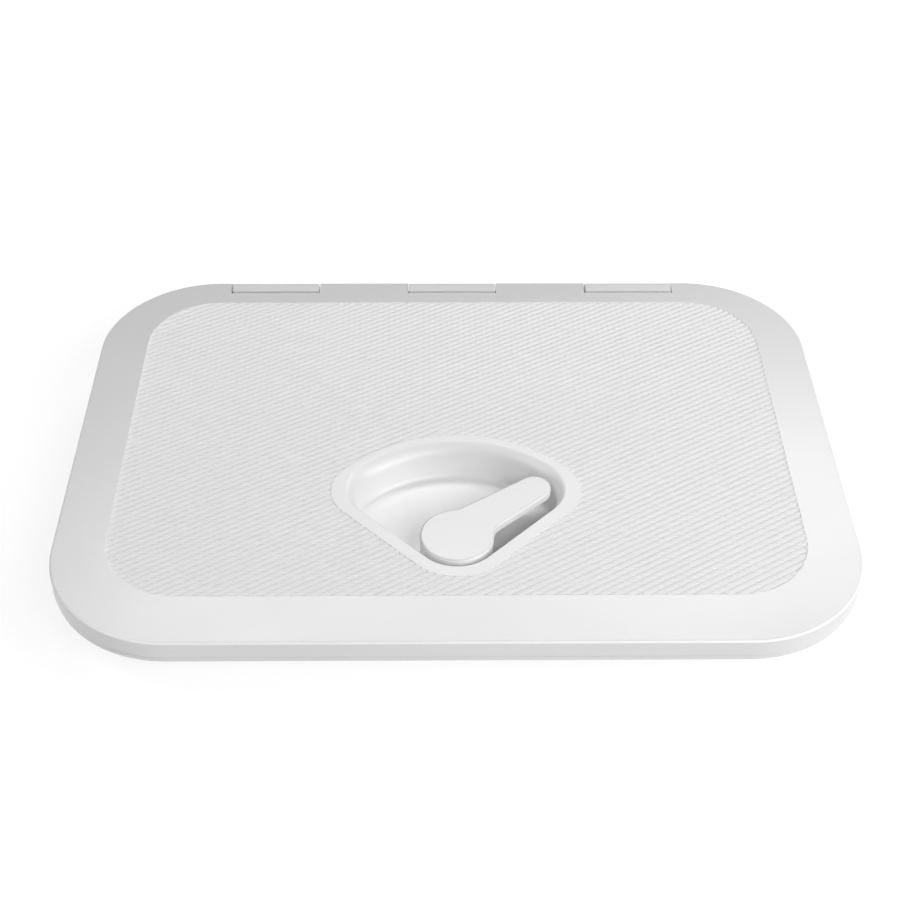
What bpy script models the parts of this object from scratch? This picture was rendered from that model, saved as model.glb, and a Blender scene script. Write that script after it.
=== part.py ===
"""Deck access hatch: a moulded frame, a lid on three hinge blocks and a quarter-turn latch.

Metres, +Z up, +X along the hinge line and +Y towards it.  The origin is under the middle of
the hatch, level with the lower edge of the coaming.
"""
import math

import bmesh
import bpy
from mathutils import Matrix

MM = 0.001
GAP = 0.3 * MM                     # left between pieces that touch

# Heights above the lower edge of the coaming
DECK = 25 * MM                     # seat of the flange on the deck
FLANGE_TOP = DECK + 2.5 * MM
RIM_TOP = DECK + 5.5 * MM
LID_UNDER = DECK + 9 * MM
LID_TOP = DECK + 12 * MM
SKIRT_BOTTOM = DECK + 3 * MM

# Lid
LID_WIDTH = 375 * MM
LID_DEPTH = 270 * MM
LID_CORNER = 59 * MM
LID_EDGE = 2.2 * MM                # radius of the top edge
SKIRT = 2.5 * MM
REAR_SKIRT_BOTTOM = DECK + 5.6 * MM
REAR_SKIRT_Y = 129 * MM            # behind this line the skirt clears the flange as it turns
FIELD_WIDTH = 326 * MM             # anti-slip field
FIELD_FRONT = -106.5 * MM
FIELD_BACK = 116 * MM
FIELD_CORNER = 36 * MM
FIELD_STEP = 0.5 * MM
RIB = 1.8 * MM
RIB_BOTTOM = DECK + 5 * MM

# Frame
FLANGE_INSET = 0.5 * MM            # how far the flange stops inside the lid's edge
COAMING_WIDTH = 311 * MM           # drops into a 313 x 208 mm cut-out
COAMING_DEPTH = 206 * MM
COAMING_CORNER = 28 * MM
COAMING_WALL = 3 * MM
DECK_HOLE = 2.3 * MM               # radii of the deck screw holes
DECK_SINK = 4.5 * MM
DECK_HOLE_X = 171.2 * MM
DECK_HOLE_Y = 118.7 * MM
DECK_HOLE_PAIR_X = 49.2 * MM
DECK_HOLE_CORNER = (159 * MM, 106.4 * MM)

# Seal
SEAL_WIDTH = 6 * MM
SEAL_BOTTOM = RIM_TOP + GAP
CHANNEL_BOTTOM = DECK + 6.3 * MM

# Hinges
HINGE_Y = 130.4 * MM
HINGE_Z = DECK + 7.9 * MM
HINGE_X = (-98.3 * MM, 0.0, 98.3 * MM)
HINGE_NAMES = ("left", "centre", "right")
BLOCK_WIDTH = 48 * MM
BLOCK_TOP = DECK + 13 * MM
BLOCK_FRONT = 126 * MM
BLOCK_BACK = 134.5 * MM
FOOT_FRONT = 112 * MM
FOOT_TOP = DECK + 7.5 * MM
NOTCH_WIDTH = 49 * MM
NOTCH_FRONT = 125.1 * MM
SWING_RADIUS = 6.1 * MM
LUG_WIDTH = 6.5 * MM
LUG_RADIUS = 4.3 * MM
PIN_RADIUS = 1.5 * MM
PIN_BORE = 1.6 * MM
PIN_LENGTH = 61 * MM
HINGE_SCREW_X = 15 * MM
HINGE_SCREW_Y = 118 * MM
SCREW_RADIUS = 1.5 * MM
SCREW_HEAD = 2.9 * MM
SCREW_SINK_DEPTH = 1.6 * MM
SCREW_TOP = DECK + 6.6 * MM

# Handle pocket: a quarter fan about the handle's axis
PIVOT_Y = -68 * MM
POCKET_FLOOR = DECK - 3 * MM
SHELL = 2.5 * MM
SHELL_BOTTOM = POCKET_FLOOR - SHELL
BOSS_RADIUS = 11 * MM
BOSS_BOTTOM = DECK - 7 * MM

# Handle, measured from its own axis
HANDLE_TOP = LID_TOP + 0.3 * MM
HUB_RADIUS = 17.4 * MM
TIP = (37.8 * MM, 33.1 * MM)
TIP_RADIUS = 8 * MM
LEFT_SIDE_ANGLE = math.radians(34)
RIGHT_SIDE_ANGLE = math.radians(41.5)
LEFT_NECK = 12 * MM
RIGHT_NECK = 10 * MM
ARM_THICKNESS = 4.2 * MM
HUB_WALL = 2.4 * MM
SPINDLE = 6.6 * MM
SPINDLE_BORE = 7 * MM
SQUARE = 7.6 * MM                  # across the flats of the spindle's driving end
SQUARE_HOLE = 8.2 * MM

# Latch
WASHER_TOP = BOSS_BOTTOM - GAP
WASHER_THICKNESS = 1 * MM
CAM_TOP = WASHER_TOP - WASHER_THICKNESS - GAP
CAM_THICKNESS = 4 * MM
CAM_REACH = 31 * MM
CAM_WIDTH = 13 * MM
CAM_HUB = 9 * MM
CAM_ANGLE = math.radians(172)      # the released cam lies along the lid
CATCH_UNDER = CAM_TOP + GAP
CATCH_HEIGHT = 4 * MM
CATCH_WIDTH = 28 * MM
CATCH_REACH = 6 * MM


# ---------------------------------------------------------------- materials

def material(name, colour, roughness, metallic):
    made = bpy.data.materials.new(name)
    made.use_nodes = True
    shader = made.node_tree.nodes["Principled BSDF"]
    shader.inputs["Base Color"].default_value = (*colour, 1)
    shader.inputs["Roughness"].default_value = roughness
    shader.inputs["Metallic"].default_value = metallic
    return made


def white_plastic(name):
    return material(name, (0.86, 0.86, 0.85), 0.42, 0)


def seal_rubber(name):
    return material(name, (0.035, 0.035, 0.037), 0.75, 0)


def stainless(name):
    return material(name, (0.62, 0.61, 0.59), 0.28, 1)


def black_nylon(name):
    return material(name, (0.045, 0.045, 0.048), 0.55, 0)


# ---------------------------------------------------------------- outlines

def arc(x, y, radius, start, end, steps):
    """Points along an arc, both ends included; angles in degrees."""
    angles = [math.radians(start + (end - start) * i / steps) for i in range(steps + 1)]
    return [(x + radius * math.cos(a), y + radius * math.sin(a)) for a in angles]


def circle(x, y, radius, count=32):
    return arc(x, y, radius, 0, 360, count)[:-1]


def rounded_rectangle(width, depth, corner, inset=0.0, middle_y=0.0):
    """Anticlockwise outline; inset moves it inwards all round."""
    radius = corner - inset
    x = width / 2 - corner
    y = depth / 2 - corner
    steps = 12
    points = []
    for sign_x, sign_y, start in ((1, 1, 0), (-1, 1, 90), (-1, -1, 180), (1, -1, 270)):
        points += arc(sign_x * x, middle_y + sign_y * y, radius, start, start + 90, steps)
    return points


def fan(front, back, corner):
    """Pocket outline about the handle's axis: a round front, sides at 45 degrees, an arc behind."""
    across = front - corner
    along = math.sqrt((back - corner) ** 2 - across ** 2)
    corner_x = (across + along) * math.sqrt(0.5)
    corner_y = (along - across) * math.sqrt(0.5)
    meet = math.degrees(math.atan2(corner_y, corner_x))
    right = arc(0, 0, front, -90, -45, 6)
    right += arc(corner_x, corner_y, corner, -45, meet, 8)
    right += arc(0, 0, back, meet, 90, 8)[1:]
    left = [(-x, y) for x, y in reversed(right[1:-1])]
    return [(x, y + PIVOT_Y) for x, y in right + left]


def handle_outline(inset=0.0):
    """Hub and tapered arm about the handle's axis, blended at the neck."""
    def neck(side, angle, radius):
        # side is +1 for the left flank and -1 for the right flank
        along = (math.cos(angle), math.sin(angle))
        outward = (-side * along[1], side * along[0])
        flank = TIP[0] * outward[0] + TIP[1] * outward[1] + TIP_RADIUS
        reach = math.sqrt((HUB_RADIUS + radius) ** 2 - (flank + radius) ** 2)
        centre_x = outward[0] * (flank + radius) + along[0] * reach
        centre_y = outward[1] * (flank + radius) + along[1] * reach
        toward_hub = math.degrees(math.atan2(-centre_y, -centre_x))
        toward_flank = math.degrees(math.atan2(-outward[1], -outward[0]))
        return centre_x, centre_y, toward_hub, toward_flank

    right = neck(-1, RIGHT_SIDE_ANGLE, RIGHT_NECK)
    left = neck(1, LEFT_SIDE_ANGLE, LEFT_NECK)
    tip_start = math.degrees(RIGHT_SIDE_ANGLE) - 90
    tip_end = math.degrees(LEFT_SIDE_ANGLE) + 90
    points = arc(*right[:2], RIGHT_NECK + inset, right[2], right[3], 6)
    points += arc(*TIP, TIP_RADIUS - inset, tip_start, tip_end, 14)
    points += arc(*left[:2], LEFT_NECK + inset, left[3], left[2], 6)
    hub_start = left[2] + 180
    hub_end = right[2] + 180
    while hub_end < hub_start:
        hub_end += 360
    points += arc(0, 0, HUB_RADIUS - inset, hub_start, hub_end, 30)[1:-1]
    return points


# ---------------------------------------------------------------- bodies

def link(name, bm, shader=None, smooth_angle=None):
    """Turn a finished bmesh into an object in the scene."""
    bmesh.ops.recalc_face_normals(bm, faces=bm.faces)
    mesh = bpy.data.meshes.new(name)
    bm.to_mesh(mesh)
    bm.free()
    piece = bpy.data.objects.new(name, mesh)
    bpy.context.scene.collection.objects.link(piece)
    if shader:
        mesh.materials.append(shader)
    if smooth_angle:
        mesh.shade_smooth()
        mesh.set_sharp_from_angle(angle=math.radians(smooth_angle))
    return piece


def add_loft(bm, levels):
    """Closed body through outlines with equal point counts; levels are (outline, height)."""
    rings = [[bm.verts.new((x, y, z)) for x, y in outline] for outline, z in levels]
    count = len(rings[0])
    for lower, upper in zip(rings, rings[1:]):
        for i in range(count):
            j = (i + 1) % count
            bm.faces.new((lower[i], lower[j], upper[j], upper[i]))
    bm.faces.new(list(reversed(rings[0])))
    bm.faces.new(rings[-1])


def loft(name, levels, shader=None, smooth_angle=None):
    bm = bmesh.new()
    add_loft(bm, levels)
    return link(name, bm, shader, smooth_angle)


def add_box(bm, low, high):
    size = [b - a for a, b in zip(low, high)]
    middle = [(a + b) / 2 for a, b in zip(low, high)]
    place = Matrix.Translation(middle) @ Matrix.Diagonal((*size, 1))
    bmesh.ops.create_cube(bm, size=1, matrix=place)


def box(name, low, high, shader=None):
    bm = bmesh.new()
    add_box(bm, low, high)
    return link(name, bm, shader)


def side_profile(name, profile, x_low, x_high, shader=None, smooth_angle=None):
    """Extrude an outline in Y and Z along X."""
    bm = bmesh.new()
    face = bm.faces.new([bm.verts.new((x_low, y, z)) for y, z in profile])
    swept = bmesh.ops.extrude_face_region(bm, geom=[face])
    moved = [v for v in swept["geom"] if isinstance(v, bmesh.types.BMVert)]
    bmesh.ops.translate(bm, verts=moved, vec=(x_high - x_low, 0, 0))
    return link(name, bm, shader, smooth_angle)


def turned(name, profile, shader=None, closed=False, steps=32):
    """Turn a profile of (radius, height) about the local Z axis; it runs down its outer side."""
    mesh = bpy.data.meshes.new(name)
    edges = [(i, i + 1) for i in range(len(profile) - 1)]
    if closed:
        edges.append((len(profile) - 1, 0))
    mesh.from_pydata([(radius, 0, height) for radius, height in profile], edges, [])
    piece = bpy.data.objects.new(name, mesh)
    bpy.context.scene.collection.objects.link(piece)
    if shader:
        mesh.materials.append(shader)
    screw = piece.modifiers.new("turn", "SCREW")
    screw.axis = "Z"
    screw.steps = steps
    screw.render_steps = steps
    screw.use_merge_vertices = True
    screw.merge_threshold = 0.000001
    screw.use_smooth_shade = True
    return piece


def combine(body, tool, operation):
    """Keep a Boolean against a tool that rides with the body and isn't part of the model."""
    tool.hide_render = True
    tool.display_type = "WIRE"
    tool.parent = body
    step = body.modifiers.new(tool.name, "BOOLEAN")
    step.operation = operation
    step.solver = "EXACT"
    step.object = tool


def cut(body, tool):
    combine(body, tool, "DIFFERENCE")


def join(body, tool):
    combine(body, tool, "UNION")


def ride(piece, axis):
    """Parent a piece to the empty on its joint's axis, and leave it where it is."""
    bpy.context.view_layer.update()
    piece.parent = axis
    piece.matrix_parent_inverse = axis.matrix_world.inverted()


def axis_empty(name, location, parent=None):
    empty = bpy.data.objects.new(name, None)
    bpy.context.scene.collection.objects.link(empty)
    empty.location = location
    if parent:
        ride(empty, parent)
    return empty


def edge_levels(outline, low, high, radius, steps=4):
    """Levels of a plate whose upper edge is rounded; outline is a function of the inset."""
    levels = [(outline(0.0), low)]
    for i in range(steps + 1):
        angle = math.pi / 2 * i / steps
        inset = radius * (1 - math.cos(angle))
        levels.append((outline(inset), high - radius + radius * math.sin(angle)))
    return levels


def ring(name, section, shader=None, smooth_angle=None):
    """Closed ring whose cross-section is a loop of (outline, height)."""
    bm = bmesh.new()
    loops = [[bm.verts.new((x, y, z)) for x, y in outline] for outline, z in section]
    count = len(loops[0])
    for k, first in enumerate(loops):
        second = loops[(k + 1) % len(loops)]
        for i in range(count):
            j = (i + 1) % count
            bm.faces.new((first[i], first[j], second[j], second[i]))
    return link(name, bm, shader, smooth_angle)


# ---------------------------------------------------------------- frame

def coaming_outline(inset):
    return rounded_rectangle(COAMING_WIDTH, COAMING_DEPTH, COAMING_CORNER, inset)


def deck_hole_centres():
    centres = []
    for sign_x in (-1, 1):
        centres.append((sign_x * DECK_HOLE_X, 0.0))
        for sign_y in (-1, 1):
            centres.append((sign_x * DECK_HOLE_PAIR_X, sign_y * DECK_HOLE_Y))
            centres.append((sign_x * DECK_HOLE_CORNER[0], sign_y * DECK_HOLE_CORNER[1]))
    return centres


def hinge_screw_centres():
    """Block name, side name and place of each hinge screw."""
    places = []
    for block, x in zip(HINGE_NAMES, HINGE_X):
        for side, sign in (("a", -1), ("b", 1)):
            places.append((block, side, x + sign * HINGE_SCREW_X, HINGE_SCREW_Y))
    return places


def make_frame():
    def flange(inset):
        return rounded_rectangle(LID_WIDTH, LID_DEPTH, LID_CORNER, FLANGE_INSET + inset)

    edge_round = 0.6 * MM
    over = 1 * MM
    shader = white_plastic("frame_plastic")
    levels = edge_levels(flange, DECK, FLANGE_TOP, edge_round, 3)
    frame = loft("frame", levels, shader, 30)
    wall = [(coaming_outline(edge_round), 0.0), (coaming_outline(0.0), edge_round)]
    wall += [(coaming_outline(0.0), RIM_TOP - edge_round), (coaming_outline(edge_round), RIM_TOP)]
    join(frame, loft("coaming_wall", wall))
    inner = coaming_outline(COAMING_WALL)
    cut(frame, loft("throat", [(inner, -over), (inner, RIM_TOP + over)]))

    wall_y = -COAMING_DEPTH / 2 + COAMING_WALL
    catch_top = CATCH_UNDER + CATCH_HEIGHT
    catch_low = (-CATCH_WIDTH / 2, wall_y - over, CATCH_UNDER)
    catch_high = (CATCH_WIDTH / 2, wall_y + CATCH_REACH, catch_top)
    join(frame, box("catch", catch_low, catch_high))
    gussets = bmesh.new()
    for x in (-CATCH_WIDTH / 2, -RIB / 2, CATCH_WIDTH / 2 - RIB):
        low = (x, wall_y - over, catch_top - over)
        add_box(gussets, low, (x + RIB, wall_y + CATCH_REACH / 2, catch_top + CATCH_HEIGHT))
    join(frame, link("catch_gussets", gussets))

    holes = bmesh.new()
    for x, y in deck_hole_centres():
        sink = DECK_SINK - DECK_HOLE
        add_loft(holes, [
            (circle(x, y, DECK_HOLE, 24), DECK - over),
            (circle(x, y, DECK_HOLE, 24), FLANGE_TOP - sink),
            (circle(x, y, DECK_SINK, 24), FLANGE_TOP),
            (circle(x, y, DECK_SINK, 24), FLANGE_TOP + over),
        ])
    cut(frame, link("deck_screw_holes", holes))
    sinks = bmesh.new()
    for _, _, x, y in hinge_screw_centres():
        add_loft(sinks, [
            (circle(x, y, SCREW_HEAD + GAP, 24), DECK - over),
            (circle(x, y, SCREW_HEAD + GAP, 24), DECK + GAP / 2),
            (circle(x, y, SCREW_RADIUS + GAP, 24), DECK + SCREW_SINK_DEPTH + GAP / 2),
            (circle(x, y, SCREW_RADIUS + GAP, 24), FLANGE_TOP + over),
        ])
    cut(frame, link("hinge_screw_holes", sinks))
    return frame


# ---------------------------------------------------------------- hinges

def make_hinge_block(name, x):
    """Side profile: a low foot under the lid and a rounded knuckle in the lid's notch."""
    front_round = 2.4 * MM
    back_round = 3 * MM
    foot_round = 1.2 * MM
    bottom = FLANGE_TOP + GAP
    profile = [(FOOT_FRONT, bottom), (BLOCK_BACK, bottom)]
    profile += arc(BLOCK_BACK - back_round, BLOCK_TOP - back_round, back_round, 0, 90, 5)
    profile += arc(BLOCK_FRONT + front_round, BLOCK_TOP - front_round, front_round, 90, 180, 5)
    profile += [(BLOCK_FRONT, FOOT_TOP)]
    profile += arc(FOOT_FRONT + foot_round, FOOT_TOP - foot_round, foot_round, 90, 180, 3)
    half = BLOCK_WIDTH / 2
    shader = white_plastic(name + "_plastic")
    block = side_profile(name, profile, x - half, x + half, shader, 30)
    bore = circle(HINGE_Y, HINGE_Z, PIN_BORE, 24)
    cut(block, side_profile(name + "_bore", bore, x - half - GAP, x + half + GAP))
    pilots = bmesh.new()
    for sign in (-1, 1):
        hole = circle(x + sign * HINGE_SCREW_X, HINGE_SCREW_Y, SCREW_RADIUS + GAP / 2, 24)
        add_loft(pilots, [(hole, FLANGE_TOP - GAP), (hole, SCREW_TOP + GAP)])
    cut(block, link(name + "_pilots", pilots))
    return block


def make_hinge_pin(name, x):
    chamfer = 0.3 * MM
    half = PIN_LENGTH / 2
    profile = [(0, half), (PIN_RADIUS - chamfer, half), (PIN_RADIUS, half - chamfer)]
    profile += [(radius, -height) for radius, height in reversed(profile)]
    pin = turned(name, profile, stainless(name + "_steel"), steps=24)
    pin.location = (x, HINGE_Y, HINGE_Z)
    pin.rotation_euler = (0, math.pi / 2, 0)
    return pin


def make_hinge_screw(name, x, y):
    """Countersunk screw that stands head down, with a cross recess underneath."""
    seat = DECK + GAP / 2
    point = 1.4 * MM
    profile = [
        (0, SCREW_TOP),
        (SCREW_RADIUS / 3, SCREW_TOP),
        (SCREW_RADIUS, SCREW_TOP - point),
        (SCREW_RADIUS, seat + SCREW_SINK_DEPTH),
        (SCREW_HEAD, seat + GAP / 2),
        (SCREW_HEAD, seat),
        (0, seat),
    ]
    screw = turned(name, profile, stainless(name + "_steel"), steps=24)
    screw.location = (x, y, 0)
    add_cross_recess(screw, seat, 1.7 * MM, 0.8 * MM, 0.9 * MM)
    return screw


def add_cross_recess(screw, face, half_length, width, depth):
    """Cut a cross into the downward face of a screw's head."""
    half = width / 2
    quarter = [(half_length, -half), (half_length, half), (half, half)]
    outline = []
    for _ in range(4):
        outline += quarter
        quarter = [(-y, x) for x, y in quarter]
    cut(screw, loft(screw.name + "_cross", [(outline, face - 1 * MM), (outline, face + depth)]))


# ---------------------------------------------------------------- lid

def pocket_levels(grow=0.0):
    """The hand pocket from its floor to the lid's top, as (outline, height).

    Each row gives the front, back and corner radii in millimetres, and the height above the floor.
    """
    shape = [
        (18.9, 54.0, 14.4, 0.0),
        (19.0, 57.0, 15.2, 0.9),
        (19.1, 58.2, 15.4, 3.2),
        (19.3, 60.0, 15.6, 7.0),
        (19.4, 62.1, 15.9, 11.0),
        (19.6, 64.7, 16.2, 14.1),
        (20.4, 67.5, 16.8, 15.0),
    ]
    return [
        (fan(front * MM + grow, back * MM + grow, corner * MM + grow), POCKET_FLOOR + rise * MM)
        for front, back, corner, rise in shape
    ]


def lid_outline(inset):
    return rounded_rectangle(LID_WIDTH, LID_DEPTH, LID_CORNER, inset)


def seal_outline(offset):
    """Outline beside the middle of the rim; a positive offset is outside it."""
    return coaming_outline(COAMING_WALL / 2 - offset)


def channel_wall(name, near, far):
    high = LID_UNDER + 0.5 * MM
    section = [(seal_outline(far), CHANNEL_BOTTOM), (seal_outline(near), CHANNEL_BOTTOM)]
    section += [(seal_outline(near), high), (seal_outline(far), high)]
    return ring(name, section)


def add_lid_ribs(lid):
    """Stiffening ribs inside the seal, set a little apart in height so that they join cleanly."""
    step = 0.1 * MM
    reach_x = COAMING_WIDTH / 2 - COAMING_WALL / 2 - SEAL_WIDTH / 2 - RIB
    reach_y = COAMING_DEPTH / 2 - COAMING_WALL / 2 - SEAL_WIDTH / 2 - RIB
    high = LID_UNDER + 0.5 * MM
    for i, x in enumerate((-112 * MM, -76 * MM, 0.0, 76 * MM, 112 * MM)):
        low = (x - RIB / 2, -reach_y, RIB_BOTTOM)
        join(lid, box(f"rib_across_{i}", low, (x + RIB / 2, reach_y, high)))
    for i, y in enumerate((-42 * MM, 18 * MM, 58 * MM)):
        low = (-reach_x, y - RIB / 2, RIB_BOTTOM + step)
        join(lid, box(f"rib_along_{i}", low, (reach_x, y + RIB / 2, high + step)))


def make_lid():
    over = 1 * MM
    overlap = 0.5 * MM
    shader = white_plastic("lid_plastic")
    levels = edge_levels(lid_outline, SKIRT_BOTTOM, LID_TOP, LID_EDGE)
    lid = loft("lid", levels, shader, 30)
    inside = lid_outline(SKIRT)
    cut(lid, loft("lid_inside", [(inside, SKIRT_BOTTOM - over), (inside, LID_UNDER)]))
    rear_low = (-LID_WIDTH / 2, REAR_SKIRT_Y, SKIRT_BOTTOM - over)
    rear_high = (LID_WIDTH / 2, LID_DEPTH / 2 + over, REAR_SKIRT_BOTTOM)
    cut(lid, box("rear_skirt_relief", rear_low, rear_high))

    field_depth = FIELD_BACK - FIELD_FRONT
    field_middle = (FIELD_BACK + FIELD_FRONT) / 2
    field = rounded_rectangle(FIELD_WIDTH, field_depth, FIELD_CORNER, 0.0, field_middle)
    cut(lid, loft("field", [(field, LID_TOP - FIELD_STEP), (field, LID_TOP + over)]))
    lip = fan(26.5 * MM, 71.5 * MM, 22 * MM)
    join(lid, loft("pocket_lip", [(lip, LID_UNDER + overlap), (lip, LID_TOP)]))
    join(lid, channel_wall("channel_inside", -SEAL_WIDTH / 2 - RIB, -SEAL_WIDTH / 2 - overlap))
    join(lid, channel_wall("channel_outside", SEAL_WIDTH / 2 + overlap, SEAL_WIDTH / 2 + RIB))
    add_lid_ribs(lid)

    shell = [(outline, z - SHELL) for outline, z in pocket_levels(SHELL)]
    join(lid, loft("pocket_shell", shell))
    boss = circle(0, PIVOT_Y, BOSS_RADIUS)
    join(lid, loft("spindle_boss", [(boss, BOSS_BOTTOM), (boss, SHELL_BOTTOM + over)]))
    pocket = pocket_levels()
    cut(lid, loft("pocket", pocket + [(pocket[-1][0], LID_TOP + over)]))
    bore = circle(0, PIVOT_Y, SPINDLE_BORE)
    cut(lid, loft("spindle_bore", [(bore, BOSS_BOTTOM - over), (bore, POCKET_FLOOR + over)]))

    for name, x in zip(HINGE_NAMES, HINGE_X):
        add_hinge_notch(lid, name, x)
    return lid


def add_hinge_notch(lid, name, x):
    """Two lugs that carry the pin, and the notch between them for the hinge block."""
    over = 1 * MM
    lug_top = LID_UNDER + 0.8 * MM
    lug_half = NOTCH_WIDTH / 2 + LUG_WIDTH
    profile = [(HINGE_Y + LUG_RADIUS, lug_top), (HINGE_Y - LUG_RADIUS, lug_top)]
    profile += arc(HINGE_Y, HINGE_Z, LUG_RADIUS, 180, 360, 16)
    join(lid, side_profile(f"lugs_{name}", profile, x - lug_half, x + lug_half))
    half = NOTCH_WIDTH / 2
    low = (x - half, NOTCH_FRONT, DECK)
    cut(lid, box(f"notch_{name}", low, (x + half, LID_DEPTH / 2 + over, LID_TOP + over)))
    swing = circle(HINGE_Y, HINGE_Z, SWING_RADIUS, 48)
    cut(lid, side_profile(f"swing_{name}", swing, x - half + GAP / 30, x + half - GAP / 30))
    bore = circle(HINGE_Y, HINGE_Z, PIN_BORE, 24)
    cut(lid, side_profile(f"lug_bore_{name}", bore, x - lug_half - over, x + lug_half + over))


def make_gasket():
    """Seal in the lid's channel, with a round lip that lands on the frame's rim."""
    half = SEAL_WIDTH / 2
    top = LID_UNDER - GAP
    lip = 1.6 * MM
    section = [(seal_outline(half), top)]
    for i in range(7):
        angle = math.pi * i / 6
        height = SEAL_BOTTOM + lip * (1 - math.sin(angle))
        section.append((seal_outline(half * math.cos(angle)), height))
    section.append((seal_outline(-half), top))
    return ring("lid_gasket", section, seal_rubber("gasket_rubber"), 50)


# ---------------------------------------------------------------- handle and latch

def make_handle():
    """Lever plate on a hollow hub, with a web under the arm and the spindle below."""
    over = 1 * MM
    edge = 1.2 * MM
    plate_under = HANDLE_TOP - ARM_THICKNESS
    hub_bottom = POCKET_FLOOR + 0.5 * MM
    shader = white_plastic("handle_plastic")
    levels = edge_levels(handle_outline, plate_under, HANDLE_TOP, edge)
    lever = loft("handle_lever", levels, shader, 30)
    lever.location = (0, PIVOT_Y, 0)
    hub = circle(0, 0, HUB_RADIUS - GAP / 2, 48)
    join(lever, loft("hub", [(hub, hub_bottom), (hub, plate_under + over)]))
    add_arm_web(lever, plate_under)
    outer = circle(0, 0, HUB_RADIUS - HUB_WALL, 48)
    inner = circle(0, 0, SPINDLE + HUB_WALL, 48)
    hollow = [(outer, hub_bottom - over), (outer, plate_under)]
    hollow += [(inner, plate_under), (inner, hub_bottom - over)]
    cut(lever, ring("hub_hollow", hollow))
    round_end = CAM_TOP + GAP
    spindle = circle(0, 0, SPINDLE, 32)
    join(lever, loft("spindle", [(spindle, round_end), (spindle, hub_bottom + over)]))
    half = SQUARE / 2
    square_end = CAM_TOP - CAM_THICKNESS + GAP
    join(lever, box("square", (-half, -half, square_end), (half, half, round_end + over)))
    groove_outer = circle(0, 0, SPINDLE + over, 32)
    groove_inner = circle(0, 0, SPINDLE - 1.7 * MM, 32)
    low = ring_height() - 1.05 * MM
    high = ring_height() + 1.05 * MM
    groove = [(groove_outer, low), (groove_outer, high), (groove_inner, high), (groove_inner, low)]
    cut(lever, ring("ring_groove", groove))
    screw_bore = circle(0, 0, 2.7 * MM, 24)
    cut(lever, loft("screw_bore", [(screw_bore, square_end - over), (screw_bore, DECK)]))
    return lever


def add_arm_web(lever, plate_under):
    """Web along the arm's middle, deep at the hub and running out towards the tip."""
    half = 1.5 * MM
    reach = 34 * MM
    deep = 8 * MM
    shallow = 1 * MM
    top = plate_under + 1 * MM
    profile = [(-reach, top), (-reach, plate_under - deep), (-reach / 2, plate_under - deep / 2.5)]
    profile += [(0, plate_under - shallow), (0, top)]
    web = side_profile("arm_web", profile, -half, half)
    join(lever, web)
    web.location = (TIP[0], TIP[1], 0)
    middle = (LEFT_SIDE_ANGLE + RIGHT_SIDE_ANGLE) / 2
    web.rotation_euler = (0, 0, middle - math.pi / 2)


def ring_height():
    """Middle of the O-ring, half way down the spindle's bore."""
    return (POCKET_FLOOR + BOSS_BOTTOM) / 2


def make_o_ring():
    thick = 0.9 * MM
    section = arc(SPINDLE - 1.6 * MM + thick, ring_height(), thick, 90, -270, 12)[:-1]
    piece = turned("spindle_o_ring", section, seal_rubber("o_ring_rubber"), closed=True)
    piece.location = (0, PIVOT_Y, 0)
    return piece


def make_washer(name, inner, outer, top, thickness, shader):
    ease = thickness / 5
    section = [(inner, top), (outer - ease, top), (outer, top - ease)]
    section += [(outer, top - thickness + ease), (outer - ease, top - thickness)]
    section += [(inner, top - thickness)]
    piece = turned(name, section, shader, closed=True)
    piece.location = (0, PIVOT_Y, 0)
    return piece


def cam_outline(inset):
    """Hub and tapered arm of the cam, turned to its released direction."""
    end = CAM_WIDTH / 2
    length = CAM_REACH - end
    lean = math.degrees(math.asin((CAM_HUB - end) / length))
    turn = math.degrees(CAM_ANGLE)
    side = 90 - lean
    end_x = length * math.cos(CAM_ANGLE)
    end_y = length * math.sin(CAM_ANGLE)
    points = arc(end_x, end_y, end - inset, turn - side, turn + side, 10)
    points += arc(0, 0, CAM_HUB - inset, turn + side, turn + 360 - side, 20)
    return points


def make_cam():
    edge = 0.5 * MM
    over = 1 * MM
    levels = edge_levels(cam_outline, CAM_TOP - CAM_THICKNESS, CAM_TOP, edge, 2)
    cam = loft("latch_cam", levels, black_nylon("cam_nylon"), 30)
    cam.location = (0, PIVOT_Y, 0)
    half = SQUARE_HOLE / 2
    low = (-half, -half, CAM_TOP - CAM_THICKNESS - over)
    cut(cam, box("square_hole", low, (half, half, CAM_TOP + over)))
    return cam


def make_cam_screw(washer_bottom):
    """Pan-head machine screw that holds the cam on the spindle."""
    shank = 2.4 * MM
    head = 4.7 * MM
    head_height = 2.6 * MM
    seat = washer_bottom - GAP
    shank_top = DECK - 1 * MM
    bottom = seat - head_height
    profile = [(0, shank_top), (shank - 0.4 * MM, shank_top), (shank, shank_top - 0.4 * MM)]
    profile += [(shank, seat), (head, seat), (head, seat - head_height / 2)]
    profile += [(head * 0.8, bottom + head_height * 0.12), (head * 0.55, bottom), (0, bottom)]
    screw = turned("cam_screw", profile, stainless("cam_screw_steel"), steps=32)
    screw.location = (0, PIVOT_Y, 0)
    add_cross_recess(screw, bottom, 2.2 * MM, 1 * MM, 1.5 * MM)
    return screw


# ---------------------------------------------------------------- assembly

def clear_scene():
    for existing in list(bpy.data.objects):
        bpy.data.objects.remove(existing, do_unlink=True)


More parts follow.
